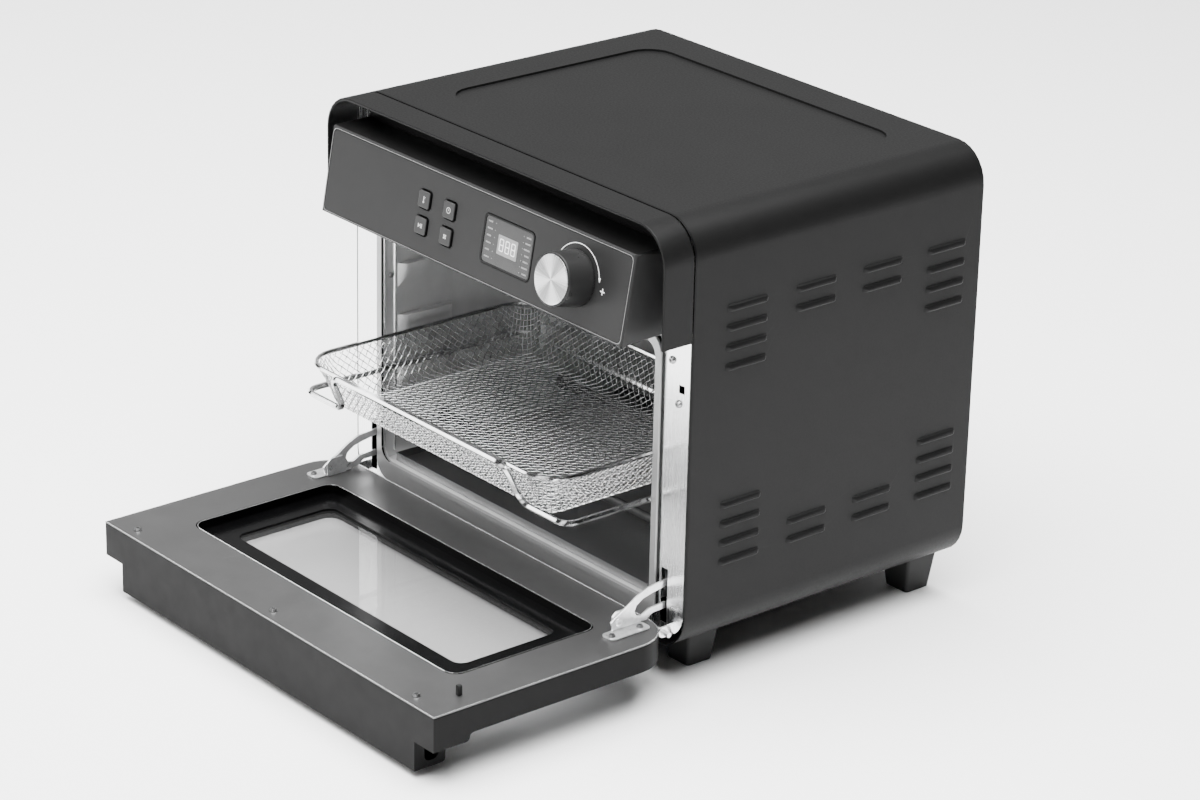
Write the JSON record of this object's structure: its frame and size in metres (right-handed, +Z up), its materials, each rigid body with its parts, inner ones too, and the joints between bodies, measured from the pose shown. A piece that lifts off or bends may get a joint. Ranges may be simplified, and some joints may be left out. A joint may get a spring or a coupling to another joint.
{
  "type": "toaster oven",
  "caption": "Countertop toaster oven with a drop-down glazed door, pull-out wire basket, tilted control panel with keys, display and dial, top fan and heating rods.",
  "frame": {"origin": "centre of the footprint of the whole part with the door open, at the undersides of the feet", "axes": "+X to the oven's right as seen by someone facing its front, +Y from the front to the rear, +Z up"},
  "size_m": [0.3932, 0.4964, 0.3472],
  "materials": {
    "charcoal_paint": "satin powder coat",
    "black_plastic": "fine satin",
    "foot_plastic": "matt",
    "stainless": "brushed",
    "zinc_plate": "zinc plated",
    "liner": "aluminised",
    "door_sheet": "dark metallic",
    "chrome_wire": "bright",
    "clear_glass": "polished",
    "dark_window": "gloss",
    "heater_sheath": "oxidised",
    "board": "matt"
  },
  "bodies": {
    "oven": {"outer_cover": "charcoal_paint", "front_bezel": "charcoal_paint", "rear_panel": "charcoal_paint", "base_plate": "zinc_plate", "rotary_encoder": "zinc_plate", "fan_motor": "zinc_plate", "cord_inlet": "black_plastic", "control_panel": "black_plastic", "door_switch": "black_plastic", "foot_front_right": "foot_plastic", "foot_front_left": "foot_plastic", "foot_rear_right": "foot_plastic", "foot_rear_left": "foot_plastic", "display_window": "dark_window", "display_module": "dark_window", "control_board": "board", "power_board": "board", "front_frame": "stainless", "fan_guard": "stainless", "frame_screw_upper": "stainless", "frame_screw_lower": "stainless", "cavity_screw_right": "stainless", "cavity_screw_left": "stainless", "oven_cavity": "liner", "heater_lower_front": "heater_sheath", "heater_lower_rear": "heater_sheath", "heater_upper": "heater_sheath"},
    "door": {"door_shell": "black_plastic", "door_inner_sheet": "door_sheet", "door_window_mask": "black_plastic", "door_inner_glass": "clear_glass", "door_outer_glass": "clear_glass", "door_switch_peg": "black_plastic", "hinge_arm_right": "zinc_plate", "hinge_arm_left": "zinc_plate", "hinge_bracket_right": "zinc_plate", "hinge_bracket_left": "zinc_plate", "hinge_pin_right": "zinc_plate", "hinge_pin_left": "zinc_plate", "door_screw_1": "stainless", "door_screw_2": "stainless", "door_screw_3": "stainless", "hinge_screw_right_1": "stainless", "hinge_screw_right_2": "stainless", "hinge_screw_left_1": "stainless", "hinge_screw_left_2": "stainless"},
    "basket": {"basket_frame": "chrome_wire", "basket_rim": "chrome_wire", "basket_mesh": "chrome_wire"},
    "crumb_drawer": {"crumb_tray": "stainless"},
    "knob": {"control_knob": "black_plastic", "knob_cap": "stainless"},
    "fan": {"convection_fan": "zinc_plate"},
    "button_mode_lower_key": {"button_mode_lower": "black_plastic"},
    "button_mode_upper_key": {"button_mode_upper": "black_plastic"},
    "button_time_lower_key": {"button_time_lower": "black_plastic"},
    "button_time_upper_key": {"button_time_upper": "black_plastic"}
  },
  "joints": [
    {"name": "door_hinge", "type": "hinge", "parent": "oven", "child": "door", "pos_m": [0, -0.03615, 0.0478], "axis": [-1, 0, 0], "range_deg": [0, 90]},
    {"name": "basket_slide", "type": "slide", "parent": "oven", "child": "basket", "axis": [0, 1, 0], "range_m": [0, 0.095]},
    {"name": "crumb_tray_slide", "type": "slide", "parent": "oven", "child": "crumb_drawer", "axis": [0, 1, 0], "range_m": [-0.06, 0]},
    {"name": "knob_turn", "type": "hinge", "parent": "oven", "child": "knob", "pos_m": [0.1152, -0.0672, 0.29621], "axis": [0, -0.9849, 0.1729], "continuous": true},
    {"name": "fan_spin", "type": "hinge", "parent": "oven", "child": "fan", "pos_m": [0, 0.08935, 0.245], "axis": [0, 0, 1], "continuous": true},
    {"name": "button_mode_lower_press", "type": "slide", "parent": "oven", "child": "button_mode_lower_key", "axis": [0, 0.9849, -0.1729], "range_m": [0, 0.001], "stiffness_N_per_m": 300, "springref_m": -0.0005},
    {"name": "button_mode_upper_press", "type": "slide", "parent": "oven", "child": "button_mode_upper_key", "axis": [0, 0.9849, -0.1729], "range_m": [0, 0.001], "stiffness_N_per_m": 300, "springref_m": -0.0005},
    {"name": "button_time_lower_press", "type": "slide", "parent": "oven", "child": "button_time_lower_key", "axis": [0, 0.9849, -0.1729], "range_m": [0, 0.001], "stiffness_N_per_m": 300, "springref_m": -0.0005},
    {"name": "button_time_upper_press", "type": "slide", "parent": "oven", "child": "button_time_upper_key", "axis": [0, 0.9849, -0.1729], "range_m": [0, 0.001], "stiffness_N_per_m": 300, "springref_m": -0.0005}
  ],
  "couplings": [
    {"joint": "basket_slide", "follows": "door_hinge", "m_per_rad": 0.0604}
  ]
}
